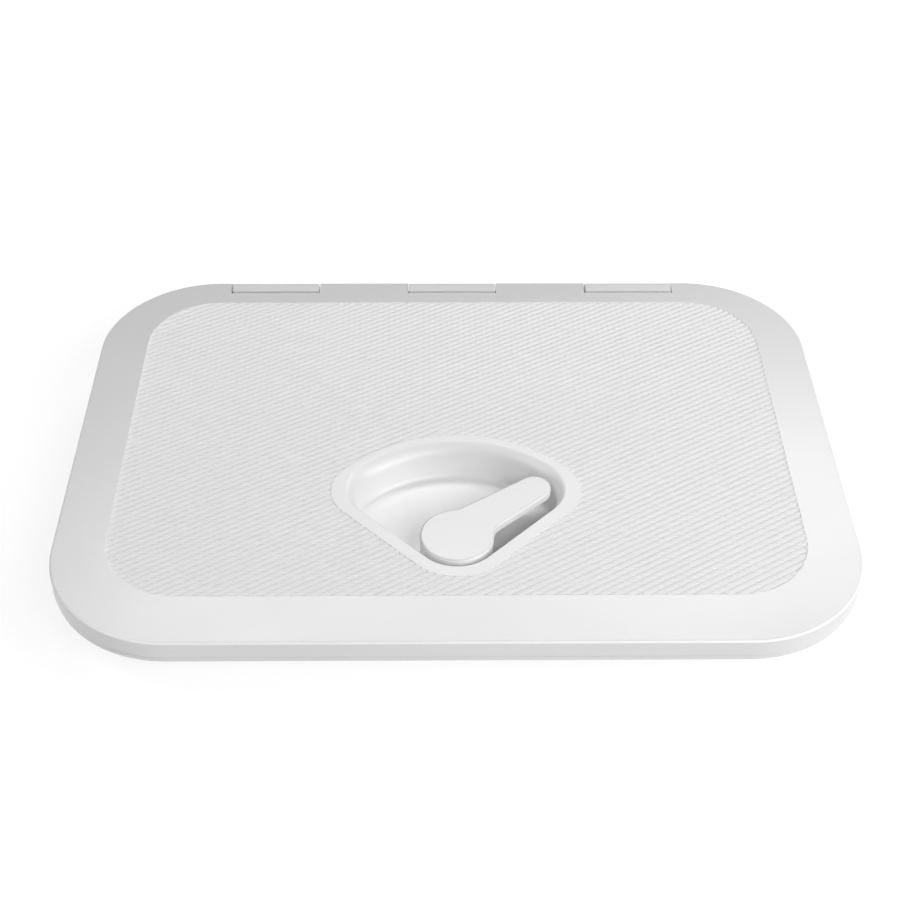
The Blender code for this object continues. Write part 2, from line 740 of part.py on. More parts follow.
def make_hatch():
    clear_scene()
    lid_axis = axis_empty("lid_axis", (0, HINGE_Y, HINGE_Z))
    handle_axis = axis_empty("handle_axis", (0, PIVOT_Y, LID_TOP), lid_axis)
    make_frame()
    for name, x in zip(HINGE_NAMES, HINGE_X):
        make_hinge_block(f"hinge_block_{name}", x)
        make_hinge_pin(f"hinge_pin_{name}", x)
    for block, side, x, y in hinge_screw_centres():
        make_hinge_screw(f"hinge_screw_{block}_{side}", x, y)
    for piece in (make_lid(), make_gasket()):
        ride(piece, lid_axis)

    nylon = material("washer_nylon", (0.8, 0.79, 0.75), 0.5, 0)
    steel = stainless("cam_washer_steel")
    cam_washer_top = CAM_TOP - CAM_THICKNESS - GAP
    latch = [
        make_handle(),
        make_o_ring(),
        make_washer("thrust_washer", 6.9 * MM, 10.5 * MM, WASHER_TOP, WASHER_THICKNESS, nylon),
        make_cam(),
        make_washer("cam_washer", 2.7 * MM, 7 * MM, cam_washer_top, WASHER_THICKNESS, steel),
        make_cam_screw(cam_washer_top - WASHER_THICKNESS),
    ]
    for piece in latch:
        ride(piece, handle_axis)


make_hatch()
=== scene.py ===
"""Looks of the deck hatch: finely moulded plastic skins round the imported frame, and a studio."""
import math

import bmesh
import bpy
from mathutils import Matrix, Vector


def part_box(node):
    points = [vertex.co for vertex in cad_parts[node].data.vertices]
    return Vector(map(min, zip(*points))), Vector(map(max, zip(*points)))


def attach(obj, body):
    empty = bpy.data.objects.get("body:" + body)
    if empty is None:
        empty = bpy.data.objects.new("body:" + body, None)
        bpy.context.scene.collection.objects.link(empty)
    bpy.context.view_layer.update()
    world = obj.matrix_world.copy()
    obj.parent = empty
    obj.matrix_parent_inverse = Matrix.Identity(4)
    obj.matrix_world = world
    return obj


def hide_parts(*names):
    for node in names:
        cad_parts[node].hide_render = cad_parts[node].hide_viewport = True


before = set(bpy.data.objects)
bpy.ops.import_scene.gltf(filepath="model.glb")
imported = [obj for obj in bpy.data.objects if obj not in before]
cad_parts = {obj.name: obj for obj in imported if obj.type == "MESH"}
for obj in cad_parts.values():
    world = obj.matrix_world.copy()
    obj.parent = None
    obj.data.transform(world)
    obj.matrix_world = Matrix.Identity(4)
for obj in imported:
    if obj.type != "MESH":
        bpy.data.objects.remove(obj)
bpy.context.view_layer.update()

MM = 0.001
OVER = 1 * MM                      # how far a cutter runs past what it cuts

# ---------------------------------------------------------------- sizes, from the frame

LID_LOW, LID_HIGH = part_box("lid")
FRAME_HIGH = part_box("frame")[1]
CAM_LOW, CAM_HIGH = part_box("latch_cam")
O_RING_LOW, O_RING_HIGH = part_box("spindle_o_ring")
LEVER_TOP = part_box("handle_lever")[1][2]

WIDTH = LID_HIGH[0] - LID_LOW[0]
DEPTH = LID_HIGH[1] - LID_LOW[1]
LID_TOP = LID_HIGH[2]
DECK = LID_TOP - 12 * MM
FLANGE_TOP = DECK + 2.5 * MM
RIM_TOP = FRAME_HIGH[2]
LID_UNDER = DECK + 9 * MM
SKIRT_BOTTOM = DECK + 3 * MM
REAR_SKIRT_BOTTOM = DECK + 5.6 * MM
REAR_SKIRT_Y = 129 * MM
LID_CORNER = 59 * MM
LID_EDGE = 1.2 * MM
SKIRT = 2.5 * MM
RIB = 1.8 * MM
RIB_BOTTOM = DECK + 5 * MM
RIBS_ACROSS = (-112 * MM, -76 * MM, 0.0, 76 * MM, 112 * MM)
RIBS_ALONG = (-42 * MM, 18 * MM, 58 * MM)

FIELD_WIDTH = 326 * MM
FIELD_FRONT = -106.5 * MM
FIELD_BACK = 116 * MM
FIELD_CORNER = 36 * MM
FIELD_STEP = 0.65 * MM

COAMING_WIDTH = 311 * MM
COAMING_DEPTH = 206 * MM
COAMING_CORNER = 28 * MM
COAMING_WALL = 3 * MM
FRAME_EDGE = 0.7 * MM
CATCH_HALF = 14 * MM
CATCH_REACH = 6 * MM
CATCH_THICKNESS = 4 * MM
CAM_GAP = 0.3 * MM                 # over the cam, and from its underside to the square's end
DECK_HOLE = 2.3 * MM               # radii of the holes for deck screws
DECK_SINK = 4.5 * MM
DECK_HOLES = ((171.2, 0), (49.2, 118.7), (49.2, -118.7), (159, 106.4), (159, -106.4))

SEAL_WIDTH = 6 * MM
SEAL_LIP = 1.6 * MM
SEAL_FULLNESS = 0.8                # under 1 makes the seal's lip fuller than a circle
SEAL_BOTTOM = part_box("lid_gasket")[0][2]
SEAL_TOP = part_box("lid_gasket")[1][2]
CHANNEL_BOTTOM = DECK + 6.3 * MM

HINGE_Y, HINGE_Z = 130.4 * MM, DECK + 7.9 * MM
HINGE_NAMES = ("left", "centre", "right")
PIN_BORE = 1.6 * MM
BLOCK_FRONT = 126 * MM
BLOCK_FOOT_TOP = DECK + 7.5 * MM
SCREW_SINK = 3.2 * MM              # radii of the holes for hinge screws
SCREW_HOLE = 1.8 * MM
SCREW_PILOT = 1.65 * MM
NOTCH_HALF = 24.5 * MM
NOTCH_FRONT = 125.1 * MM
LUG_RADIUS = 4.3 * MM
LUG_LENGTH = 6.5 * MM
SWING_RADIUS = 6.1 * MM            # room for a block to turn in its notch

PIVOT_Y = -68 * MM
POCKET_FLOOR = DECK - 3 * MM
SHELL = 2.5 * MM
LIP_FRONT = 26.5 * MM
LIP_BACK = 71.5 * MM
LIP_CORNER = 22 * MM
BOSS_RADIUS = 11 * MM
BOSS_BOTTOM = DECK - 7 * MM
SPINDLE_BORE = 7 * MM

HUB_RADIUS = 17.4 * MM
HUB_WALL = 2.4 * MM
TIP = (37.8 * MM, 33.1 * MM)
TIP_RADIUS = 8 * MM
LEFT_SIDE_ANGLE = math.radians(34)
RIGHT_SIDE_ANGLE = math.radians(41.5)
LEFT_NECK = 12 * MM
RIGHT_NECK = 10 * MM
ARM_THICKNESS = 4.2 * MM
LEVER_EDGE = 1.3 * MM
SPINDLE = 6.6 * MM
SQUARE_HALF = 3.8 * MM
SCREW_BORE = 2.7 * MM
GROOVE_DEPTH = 1.7 * MM
GROOVE_EASE = 0.15 * MM

# Diamonds of the anti-slip field
DIAMOND_WIDTH = 6.25 * MM
DIAMOND_DEPTH = 3.817 * MM
DIAMOND_LENGTH_FLAT = 0.6          # sizes of a diamond's flat top against its base
DIAMOND_BREADTH_FLAT = 0.38
DIAMOND_TOP = LID_TOP - 0.05 * MM
TREAD_BASE = LID_TOP - 0.5 * MM

# Finishes: darkest and lightest colour, roughness, and where they change on the lid; the lighter
# whites of the lid's round edge, of its field and pocket, and of the lever's sides are painted
# light
# painted highlight: near-white colour for the upper part of the lid's round edge and of its hinge
# notches
PAINTED_HIGHLIGHT_WHITE = ((0.92, 0.92, 0.918), (0.93, 0.93, 0.928))
SMOOTH_WHITE = ((0.635, 0.635, 0.633), (0.655, 0.655, 0.653))
# painted light: the field, pocket and lip are coloured lighter than the smooth border
PAINTED_LIGHT_TREAD_WHITE = ((0.785, 0.785, 0.783), (0.80, 0.80, 0.798))
LEVER_WHITE = ((0.72, 0.72, 0.718), (0.735, 0.735, 0.733))
# painted light: the lever's sides are coloured lighter than its top
PAINTED_LIGHT_SIDE_WHITE = ((0.86, 0.86, 0.858), (0.87, 0.87, 0.868))
HINGE_WHITE = ((0.70, 0.70, 0.698), (0.72, 0.72, 0.718))
NATURAL_NYLON = ((0.66, 0.64, 0.58), (0.74, 0.72, 0.66))
FILLED_NYLON = ((0.02, 0.02, 0.022), (0.04, 0.04, 0.043))
RUBBER_BLACK = ((0.022, 0.022, 0.024), (0.045, 0.045, 0.047))
STEEL = ((0.5, 0.49, 0.475), (0.68, 0.67, 0.65))
NOISE_RANGE = (0.3, 0.7)           # where nearly all values of a noise lie
SMOOTH_GLOSS = 0.30                # roughness of the border and the hinge blocks
TREAD_GLOSS = 0.42
LEVER_GLOSS = 0.34
LEVER_SIDE_GLOSS = 0.38
LIP_REACH = 75 * MM                # half width of the strip that holds the pocket's lip
JUST_BELOW = 0.03 * MM             # what is further below the lid's top isn't its flat
# depth below the lid's top of the band on its round edge that carries the painted highlight
PAINTED_HIGHLIGHT_BAND = 0.8 * MM
DOWNWARD = -0.5                    # upright part of a normal below which a face looks down

# Camera: place, angles in radians, and focal length over the frame's width
CAMERA_PLACE = (-0.011594, -0.601333, DECK + 0.532162)
PITCH, YAW, ROLL = 0.7195, 0.0152, 0.0075
FOCAL_IN_FRAMES = 1.77266
SENSOR_WIDTH = 36

# Softboxes: name, azimuth and elevation in degrees, width, height, brightness of the face
LIGHTS = (
    ("back_left", -30, 49, 0.54, 0.24, 4.3),
    ("back", 0, 50, 0.9, 0.24, 7.9),
    ("back_right", 30, 42, 0.54, 0.28, 7.2),
    ("key_low", 125, 25, 0.6, 0.6, 9.6),
    ("key_right", 105, 45, 0.6, 0.6, 4.2),
    ("key_front", 155, 42, 0.6, 0.6, 5.0),
    ("fill_front", 205, 28, 0.6, 0.6, 1.5),
    ("fill_left", 265, 52, 0.7, 0.6, 3.8),
)
LIGHT_REACH = 1.6
LIGHT_AIM = Vector((0, 0, 0.03))
WORLD_STRENGTH = 0.02
FLOOR_GREY = 0.4
FLOOR_GLOW = 0.7
FLOOR_HALF = 6


# ---------------------------------------------------------------- outlines

def arc(x, y, radius, start, end, steps):
    """Points along an arc, both ends included; angles in degrees."""
    angles = [math.radians(start + (end - start) * i / steps) for i in range(steps + 1)]
    return [(x + radius * math.cos(a), y + radius * math.sin(a)) for a in angles]


def circle(x, y, radius, count=64):
    return arc(x, y, radius, 0, 360, count)[:-1]


def rounded_rectangle(width, depth, corner, inset=0.0, middle_y=0.0, steps=28):
    """Outline of a rounded rectangle drawn in by the inset, its corners about the same centres."""
    radius = corner - inset
    x = width / 2 - corner
    y = depth / 2 - corner
    points = []
    for sign_x, sign_y, start in ((1, 1, 0), (-1, 1, 90), (-1, -1, 180), (1, -1, 270)):
        points += arc(sign_x * x, middle_y + sign_y * y, radius, start, start + 90, steps)
    return points


def fan(front, back, corner):
    """Pocket outline about the handle's axis: a round front, sides at 45 degrees, an arc behind."""
    across = front - corner
    along = math.sqrt((back - corner) ** 2 - across ** 2)
    corner_x = (across + along) * math.sqrt(0.5)
    corner_y = (along - across) * math.sqrt(0.5)
    meet = math.degrees(math.atan2(corner_y, corner_x))
    right = arc(0, 0, front, -90, -45, 14)
    right += arc(corner_x, corner_y, corner, -45, meet, 20)
    right += arc(0, 0, back, meet, 90, 22)[1:]
    left = [(-x, y) for x, y in reversed(right[1:-1])]
    return [(x, y + PIVOT_Y) for x, y in right + left]


def handle_outline(inset=0.0):
    """Hub and tapered arm about the handle's axis, blended at the neck."""
    def neck(side, angle, radius):
        along = (math.cos(angle), math.sin(angle))
        outward = (-side * along[1], side * along[0])
        flank = TIP[0] * outward[0] + TIP[1] * outward[1] + TIP_RADIUS
        reach = math.sqrt((HUB_RADIUS + radius) ** 2 - (flank + radius) ** 2)
        centre_x = outward[0] * (flank + radius) + along[0] * reach
        centre_y = outward[1] * (flank + radius) + along[1] * reach
        toward_hub = math.degrees(math.atan2(-centre_y, -centre_x))
        toward_flank = math.degrees(math.atan2(-outward[1], -outward[0]))
        return centre_x, centre_y, toward_hub, toward_flank

    right = neck(-1, RIGHT_SIDE_ANGLE, RIGHT_NECK)
    left = neck(1, LEFT_SIDE_ANGLE, LEFT_NECK)
    tip_start = math.degrees(RIGHT_SIDE_ANGLE) - 90
    tip_end = math.degrees(LEFT_SIDE_ANGLE) + 90
    points = arc(*right[:2], RIGHT_NECK + inset, right[2], right[3], 14)
    points += arc(*TIP, TIP_RADIUS - inset, tip_start, tip_end, 36)
    points += arc(*left[:2], LEFT_NECK + inset, left[3], left[2], 14)
    hub_start = left[2] + 180
    hub_end = right[2] + 180
    while hub_end < hub_start:
        hub_end += 360
    points += arc(0, 0, HUB_RADIUS - inset, hub_start, hub_end, 72)[1:-1]
    return points


def lid_outline(inset):
    return rounded_rectangle(WIDTH, DEPTH, LID_CORNER, inset)


def coaming_outline(inset):
    return rounded_rectangle(COAMING_WIDTH, COAMING_DEPTH, COAMING_CORNER, inset)


def seal_outline(offset):
    return coaming_outline(COAMING_WALL / 2 - offset)


def field_outline(grow=0.0):
    middle = (FIELD_BACK + FIELD_FRONT) / 2
    return rounded_rectangle(FIELD_WIDTH, FIELD_BACK - FIELD_FRONT, FIELD_CORNER, -grow, middle)


def lip_outline(grow=0.0):
    return fan(LIP_FRONT + grow, LIP_BACK + grow, LIP_CORNER + grow)


# ---------------------------------------------------------------- mesh tools

def link(name, bm):
    """New object in the scene from a bmesh, with its faces turned outward."""
    bmesh.ops.recalc_face_normals(bm, faces=bm.faces)
    mesh = bpy.data.meshes.new(name)
    bm.to_mesh(mesh)
    bm.free()
    piece = bpy.data.objects.new(name, mesh)
    bpy.context.scene.collection.objects.link(piece)
    return piece


def add_loft(bm, levels):
    rings = [[bm.verts.new((x, y, z)) for x, y in outline] for outline, z in levels]
    count = len(rings[0])
    for lower, upper in zip(rings, rings[1:]):
        for i in range(count):
            j = (i + 1) % count
            bm.faces.new((lower[i], lower[j], upper[j], upper[i]))
    bm.faces.new(list(reversed(rings[0])))
    bm.faces.new(rings[-1])


def loft(name, levels):
    """Closed body through outlines with equal point counts; levels are (outline, height)."""
    bm = bmesh.new()
    add_loft(bm, levels)
    return link(name, bm)


def ring(name, section):
    """Closed ring whose cross-section is a loop of (outline, height)."""
    bm = bmesh.new()
    loops = [[bm.verts.new((x, y, z)) for x, y in outline] for outline, z in section]
    count = len(loops[0])
    for k, first in enumerate(loops):
        second = loops[(k + 1) % len(loops)]
        for i in range(count):
            j = (i + 1) % count
            bm.faces.new((first[i], first[j], second[j], second[i]))
    return link(name, bm)


def box(name, low, high):
    size = [b - a for a, b in zip(low, high)]
    middle = [(a + b) / 2 for a, b in zip(low, high)]
    shape = Matrix.Translation(middle) @ Matrix.Diagonal((*size, 1))
    bm = bmesh.new()
    bmesh.ops.create_cube(bm, size=1, matrix=shape)
    return link(name, bm)


def side_profile(name, profile, x_low, x_high):
    """Extrude an outline in Y and Z along X."""
    bm = bmesh.new()
    face = bm.faces.new([bm.verts.new((x_low, y, z)) for y, z in profile])
    swept = bmesh.ops.extrude_face_region(bm, geom=[face])
    moved = [v for v in swept["geom"] if isinstance(v, bmesh.types.BMVert)]
    bmesh.ops.translate(bm, verts=moved, vec=(x_high - x_low, 0, 0))
    return link(name, bm)


def settle(piece):
    """Make the result of a piece's modifiers its own mesh."""
    bpy.context.view_layer.update()
    seen = piece.evaluated_get(bpy.context.evaluated_depsgraph_get())
    mesh = bpy.data.meshes.new_from_object(seen)
    piece.modifiers.clear()
    piece.data = mesh


def combine(body, tool, operation):
    """Boolean of a body with a tool, which is used up."""
    step = body.modifiers.new("step", "BOOLEAN")
    step.operation = operation
    step.solver = "EXACT"
    step.object = tool
    settle(body)
    bpy.data.objects.remove(tool, do_unlink=True)


def cut(body, tool):
    combine(body, tool, "DIFFERENCE")


def join(body, tool):
    combine(body, tool, "UNION")


def edge_levels(outline, low, high, radius, steps=8):
    """Levels of a plate whose upper edge is rounded; outline is a function of the inset."""
    levels = [(outline(0.0), low)]
    for i in range(steps + 1):
        angle = math.pi / 2 * i / steps
        inset = radius * (1 - math.cos(angle))
        levels.append((outline(inset), high - radius + radius * math.sin(angle)))
    return levels


def smooth(piece, angle=32):
    """Smooth shading that keeps moulded edges crisp and flat faces flat."""
    piece.data.shade_smooth()
    piece.data.set_sharp_from_angle(angle=math.radians(angle))
    weighted = piece.modifiers.new("weighted", "WEIGHTED_NORMAL")
    weighted.keep_sharp = True


def place(piece, body, slot, shader, *nodes):
    """Give a skin its material and body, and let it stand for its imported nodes."""
    piece.data.materials.clear()
    piece.data.materials.append(shader)
    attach(piece, body)
    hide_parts(*nodes)


# ---------------------------------------------------------------- materials

def node_material(name, roughness, metallic=0.0):
    """Material with its node tree, its Principled node and the object's own coordinates."""
    shader = bpy.data.materials.new(name)
    shader.use_nodes = True
    tree = shader.node_tree
    surface = tree.nodes["Principled BSDF"]
    surface.inputs["Roughness"].default_value = roughness
    surface.inputs["Metallic"].default_value = metallic
    place_at = tree.nodes.new("ShaderNodeTexCoord")
    return shader, tree, surface, place_at.outputs["Object"]


def noise(tree, where, scale, detail=3.0, stretch=(1, 1, 1)):
    """Noise at so many cells a metre, stretched along an axis if wanted."""
    mapping = tree.nodes.new("ShaderNodeMapping")
    mapping.inputs["Scale"].default_value = stretch
    tree.links.new(where, mapping.inputs["Vector"])
    texture = tree.nodes.new("ShaderNodeTexNoise")
    texture.inputs["Scale"].default_value = scale
    texture.inputs["Detail"].default_value = detail
    tree.links.new(mapping.outputs["Vector"], texture.inputs["Vector"])
    return texture.outputs["Fac"]


def spread(tree, value, low, high):
    """Stretch a noise value to a range."""
    step = tree.nodes.new("ShaderNodeMapRange")
    step.inputs["From Min"].default_value = NOISE_RANGE[0]
    step.inputs["From Max"].default_value = NOISE_RANGE[1]
    step.inputs["To Min"].default_value = low
    step.inputs["To Max"].default_value = high
    tree.links.new(value, step.inputs["Value"])
    return step.outputs["Result"]


def tint(tree, value, dark, light):
    """Turn a noise value into a colour between two."""
    ramp = tree.nodes.new("ShaderNodeValToRGB")
    for element, position, colour in zip(ramp.color_ramp.elements, NOISE_RANGE, (dark, light)):
        element.position = position
        element.color = (*colour, 1)
    tree.links.new(value, ramp.inputs["Fac"])
    return ramp.outputs["Color"]


def bump(tree, surface, height, depth):
    """Relief of a given depth in metres."""
    node = tree.nodes.new("ShaderNodeBump")
    node.inputs["Distance"].default_value = depth
    node.inputs["Strength"].default_value = 1.0
    tree.links.new(height, node.inputs["Height"])
    tree.links.new(node.outputs["Normal"], surface.inputs["Normal"])


def chain(tree, operation, first, second):
    """Math node on a socket and either a number or another socket."""
    node = tree.nodes.new("ShaderNodeMath")
    node.operation = operation
    tree.links.new(first, node.inputs[0])
    if isinstance(second, (int, float)):
        node.inputs[1].default_value = second
    else:
        tree.links.new(second, node.inputs[1])
    return node.outputs[0]


def painted_light_mask(tree, where, strip):
    """One on the anti-slip field, the hand pocket and its lip, which are painted lighter as light;
    nought elsewhere.

    All of it lies below the lid's top, apart from the lip, which is in the middle strip. Faces
    that look down are left out, so that the flat of the lid's underside is all one colour. On
    the lever, whose top stands above the lid's, it is one on the sides.
    """
    axes = tree.nodes.new("ShaderNodeSeparateXYZ")
    tree.links.new(where, axes.inputs["Vector"])
    ease = 0.3 * MM
    middle = (FIELD_FRONT + FIELD_BACK) / 2
    half_width = FIELD_WIDTH / 2 + ease
    half_depth = (FIELD_BACK - FIELD_FRONT) / 2 + ease
    beside = chain(tree, "ABSOLUTE", axes.outputs["X"], 0.0)
    off_middle = chain(tree, "SUBTRACT", axes.outputs["Y"], middle)
    beyond = chain(tree, "ABSOLUTE", off_middle, 0.0)
    below = chain(tree, "LESS_THAN", axes.outputs["Z"], LID_TOP - JUST_BELOW)
    inside = chain(tree, "MAXIMUM", below, chain(tree, "LESS_THAN", beside, strip))
    inside = chain(tree, "MULTIPLY", inside, chain(tree, "LESS_THAN", beside, half_width))
    inside = chain(tree, "MULTIPLY", inside, chain(tree, "LESS_THAN", beyond, half_depth))
    facing = tree.nodes.new("ShaderNodeSeparateXYZ")
    directions = tree.nodes.new("ShaderNodeTexCoord")
    tree.links.new(directions.outputs["Normal"], facing.inputs["Vector"])
    not_down = chain(tree, "GREATER_THAN", facing.outputs["Z"], DOWNWARD)
    return chain(tree, "MULTIPLY", inside, not_down)


def painted_highlight_on_edge(tree, where):
    """One on the upper part of the lid's outer edge and of its hinge notches, where a near-white
    highlight is painted, else nought.
    """
    axes = tree.nodes.new("ShaderNodeSeparateXYZ")
    tree.links.new(where, axes.inputs["Vector"])
    below = chain(tree, "LESS_THAN", axes.outputs["Z"], LID_TOP - JUST_BELOW)
    above = chain(tree, "GREATER_THAN", axes.outputs["Z"], LID_TOP - PAINTED_HIGHLIGHT_BAND)
    band = chain(tree, "MULTIPLY", below, above)
    beside = chain(tree, "ABSOLUTE", axes.outputs["X"], 0.0)
    beyond = chain(tree, "ABSOLUTE", axes.outputs["Y"], 0.0)
    clear = 1 * MM
    past_side = chain(tree, "GREATER_THAN", beside, FIELD_WIDTH / 2 + clear)
    past_end = chain(tree, "GREATER_THAN", beyond, FIELD_BACK + clear)
    return chain(tree, "MULTIPLY", band, chain(tree, "MAXIMUM", past_side, past_end))


def blend_values(tree, mask, outside, inside, kind="FLOAT"):
    """Mix node for numbers or colours; each kind has its own numbered sockets."""
    first, result = {"FLOAT": (2, 0), "RGBA": (6, 2)}[kind]
    node = tree.nodes.new("ShaderNodeMix")
    node.data_type = kind
    tree.links.new(mask, node.inputs[0])
    tree.links.new(outside, node.inputs[first])
    tree.links.new(inside, node.inputs[first + 1])
    return node.outputs[result]


def moulded_plastic(name, whiteness, roughness, grain, inner=None):
    """Moulded plastic: faint flow shading, slightly uneven gloss and a fine spark-eroded grain.

    Whiteness is the darkest and the lightest colour; inner is the colour and roughness of what
    lies within the field, with the width of the middle strip. The colour of inner is painted light,
    and with inner the lid's round edge also gets a painted near-white highlight.
    """
    shader, tree, surface, where = node_material(name, roughness)
    flow = noise(tree, where, 9, 1.0, (1, 1.6, 1))
    patches = noise(tree, where, 30, 2.0)
    colour = tint(tree, flow, *whiteness)
    gloss = spread(tree, patches, roughness - 0.01, roughness + 0.01)
    if inner:
        painted_light_whiteness, dullness, strip = inner
        # painted light: the lid's field, pocket and lip, and the lever's sides, take a lighter
        # colour
        mask = painted_light_mask(tree, where, strip)
        # painted highlight: the upper part of the lid's round edge is blended to near white
        edge = tint(tree, flow, *PAINTED_HIGHLIGHT_WHITE)
        colour = blend_values(tree, painted_highlight_on_edge(tree, where), colour, edge, "RGBA")
        colour = blend_values(tree, mask, colour, tint(tree, flow, *painted_light_whiteness), "RGBA")
        dull = spread(tree, patches, dullness - 0.02, dullness + 0.02)
        gloss = blend_values(tree, mask, gloss, dull)
    tree.links.new(colour, surface.inputs["Base Color"])
    tree.links.new(gloss, surface.inputs["Roughness"])
    bump(tree, surface, noise(tree, where, 2600, 2.0), grain)
    surface.inputs["IOR"].default_value = 1.5
    surface.inputs["Specular IOR Level"].default_value = 1.0
    return shader


def rubber(name):
    """Dull black rubber with a faint bloom and a fine grain."""
    shader, tree, surface, where = node_material(name, 0.75)
    mottle = noise(tree, where, 300, 4.0)
    tree.links.new(tint(tree, mottle, *RUBBER_BLACK), surface.inputs["Base Color"])
    tree.links.new(spread(tree, mottle, 0.66, 0.82), surface.inputs["Roughness"])
    bump(tree, surface, noise(tree, where, 1800, 3.0), 0.03 * MM)
    return shader


def stainless(name, stretch=(0.05, 1, 1)):
    """Turned or drawn stainless steel with fine lines along or round it."""
    shader, tree, surface, where = node_material(name, 0.3, 1.0)
    lines = noise(tree, where, 5000, 2.0, stretch)
    tree.links.new(tint(tree, lines, *STEEL), surface.inputs["Base Color"])
    tree.links.new(spread(tree, lines, 0.22, 0.38), surface.inputs["Roughness"])
    bump(tree, surface, lines, 0.01 * MM)
    return shader


white = moulded_plastic("white_moulding", SMOOTH_WHITE, SMOOTH_GLOSS, 0.005 * MM)
hinge_white = moulded_plastic("hinge_moulding", HINGE_WHITE, SMOOTH_GLOSS, 0.005 * MM)
# painted light: the field, pocket and lip are coloured lighter than the smooth border
lid_painted_light = (PAINTED_LIGHT_TREAD_WHITE, TREAD_GLOSS, LIP_REACH)
lid_white = moulded_plastic("lid_moulding", SMOOTH_WHITE, SMOOTH_GLOSS, 0.005 * MM, lid_painted_light)
# painted light: the lever's sides are coloured lighter than its top
lever_painted_light = (PAINTED_LIGHT_SIDE_WHITE, LEVER_SIDE_GLOSS, 0.0)
lever_white = moulded_plastic("lever_moulding", LEVER_WHITE, LEVER_GLOSS, 0.004 * MM, lever_painted_light)
seal_black = rubber("seal_rubber")
steel = stainless("drawn_steel")
turned_steel = stainless("turned_steel", (1, 1, 0.05))
natural_nylon = moulded_plastic("natural_nylon", NATURAL_NYLON, 0.5, 0.01 * MM)
filled_nylon = moulded_plastic("filled_nylon", FILLED_NYLON, 0.5, 0.02 * MM)


# ---------------------------------------------------------------- frame

def make_frame_skin():
    """Flange, coaming and sealing rim with round edges, a catch, and countersunk holes."""
    flange_inset = WIDTH / 2 - FRAME_HIGH[0]
    edge = FRAME_EDGE

    def flange(inset):
        return rounded_rectangle(WIDTH, DEPTH, LID_CORNER, flange_inset + inset)

    skin = loft("frame_skin", edge_levels(flange, DECK, FLANGE_TOP, edge, 4))
    wall = [(coaming_outline(edge), 0.0), (coaming_outline(0.3 * edge), 0.3 * edge)]
    wall += [(coaming_outline(0.0), edge)]
    wall += edge_levels(coaming_outline, edge * 2, RIM_TOP, edge, 4)
    join(skin, loft("wall", wall))
    inner = COAMING_WALL
    throat = [
        (coaming_outline(inner - 0.6 * MM), -OVER),
        (coaming_outline(inner), 0.6 * MM),
        (coaming_outline(inner), RIM_TOP - edge),
        (coaming_outline(inner - 0.2 * MM), RIM_TOP - 0.2 * MM),
        (coaming_outline(inner - 1.2 * MM), RIM_TOP + OVER),
    ]
    cut(skin, loft("throat", throat))
    make_catch(skin)
    cut_frame_holes(skin)
    smooth(skin)
    place(skin, "frame", "white_plastic", white, "frame")


def make_catch(skin):
    """Ledge inside the front wall that the cam turns under, with three gussets on top."""
    wall_y = -COAMING_DEPTH / 2 + COAMING_WALL
    under = CAM_HIGH[2] + CAM_GAP
    top = under + CATCH_THICKNESS
    lead_in = 1 * MM
    tip_y = wall_y + CATCH_REACH
    profile = [(wall_y - OVER, under), (tip_y - lead_in, under)]
    profile += arc(tip_y - lead_in, under + lead_in, lead_in, -90, 0, 6)[1:]
    profile += [(tip_y, top), (wall_y - OVER, top)]
    join(skin, side_profile("catch", profile, -CATCH_HALF, CATCH_HALF))
    nose_y, nose_z = wall_y + 3 * MM, top + 0.5 * MM
    gusset_top = top + 4 * MM
    gusset = [(wall_y - OVER, top - OVER), (nose_y, top - OVER), (nose_y, nose_z)]
    gusset += [(wall_y, gusset_top), (wall_y - OVER, gusset_top)]
    for x in (-CATCH_HALF, -RIB / 2, CATCH_HALF - RIB):
        join(skin, side_profile("gusset", gusset, x, x + RIB))


def cut_frame_holes(skin):
    """Ten countersunk holes for deck screws, and six sunk from below for hinge screws."""
    holes = bmesh.new()
    for sign_x in (-1, 1):
        for x, y in DECK_HOLES:
            place_x, place_y = sign_x * x * MM, y * MM
            add_loft(holes, [
                (circle(place_x, place_y, DECK_HOLE, 32), DECK - OVER),
                (circle(place_x, place_y, DECK_HOLE, 32), FLANGE_TOP - (DECK_SINK - DECK_HOLE)),
                (circle(place_x, place_y, DECK_SINK, 32), FLANGE_TOP),
                (circle(place_x, place_y, DECK_SINK, 32), FLANGE_TOP + OVER),
            ])
    cut(skin, link("deck_holes", holes))
    sinks = bmesh.new()
    for name in HINGE_NAMES:
        for side in ("a", "b"):
            x, y = screw_place(name, side)
            add_loft(sinks, [
                (circle(x, y, SCREW_SINK, 32), DECK - OVER),
                (circle(x, y, SCREW_SINK, 32), DECK + 0.15 * MM),
                (circle(x, y, SCREW_HOLE, 32), DECK + 1.75 * MM),
                (circle(x, y, SCREW_HOLE, 32), FLANGE_TOP + OVER),
            ])
    cut(skin, link("hinge_holes", sinks))


def screw_place(name, side):
    low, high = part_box(f"hinge_screw_{name}_{side}")
    return (low[0] + high[0]) / 2, (low[1] + high[1]) / 2


# ---------------------------------------------------------------- hinge blocks

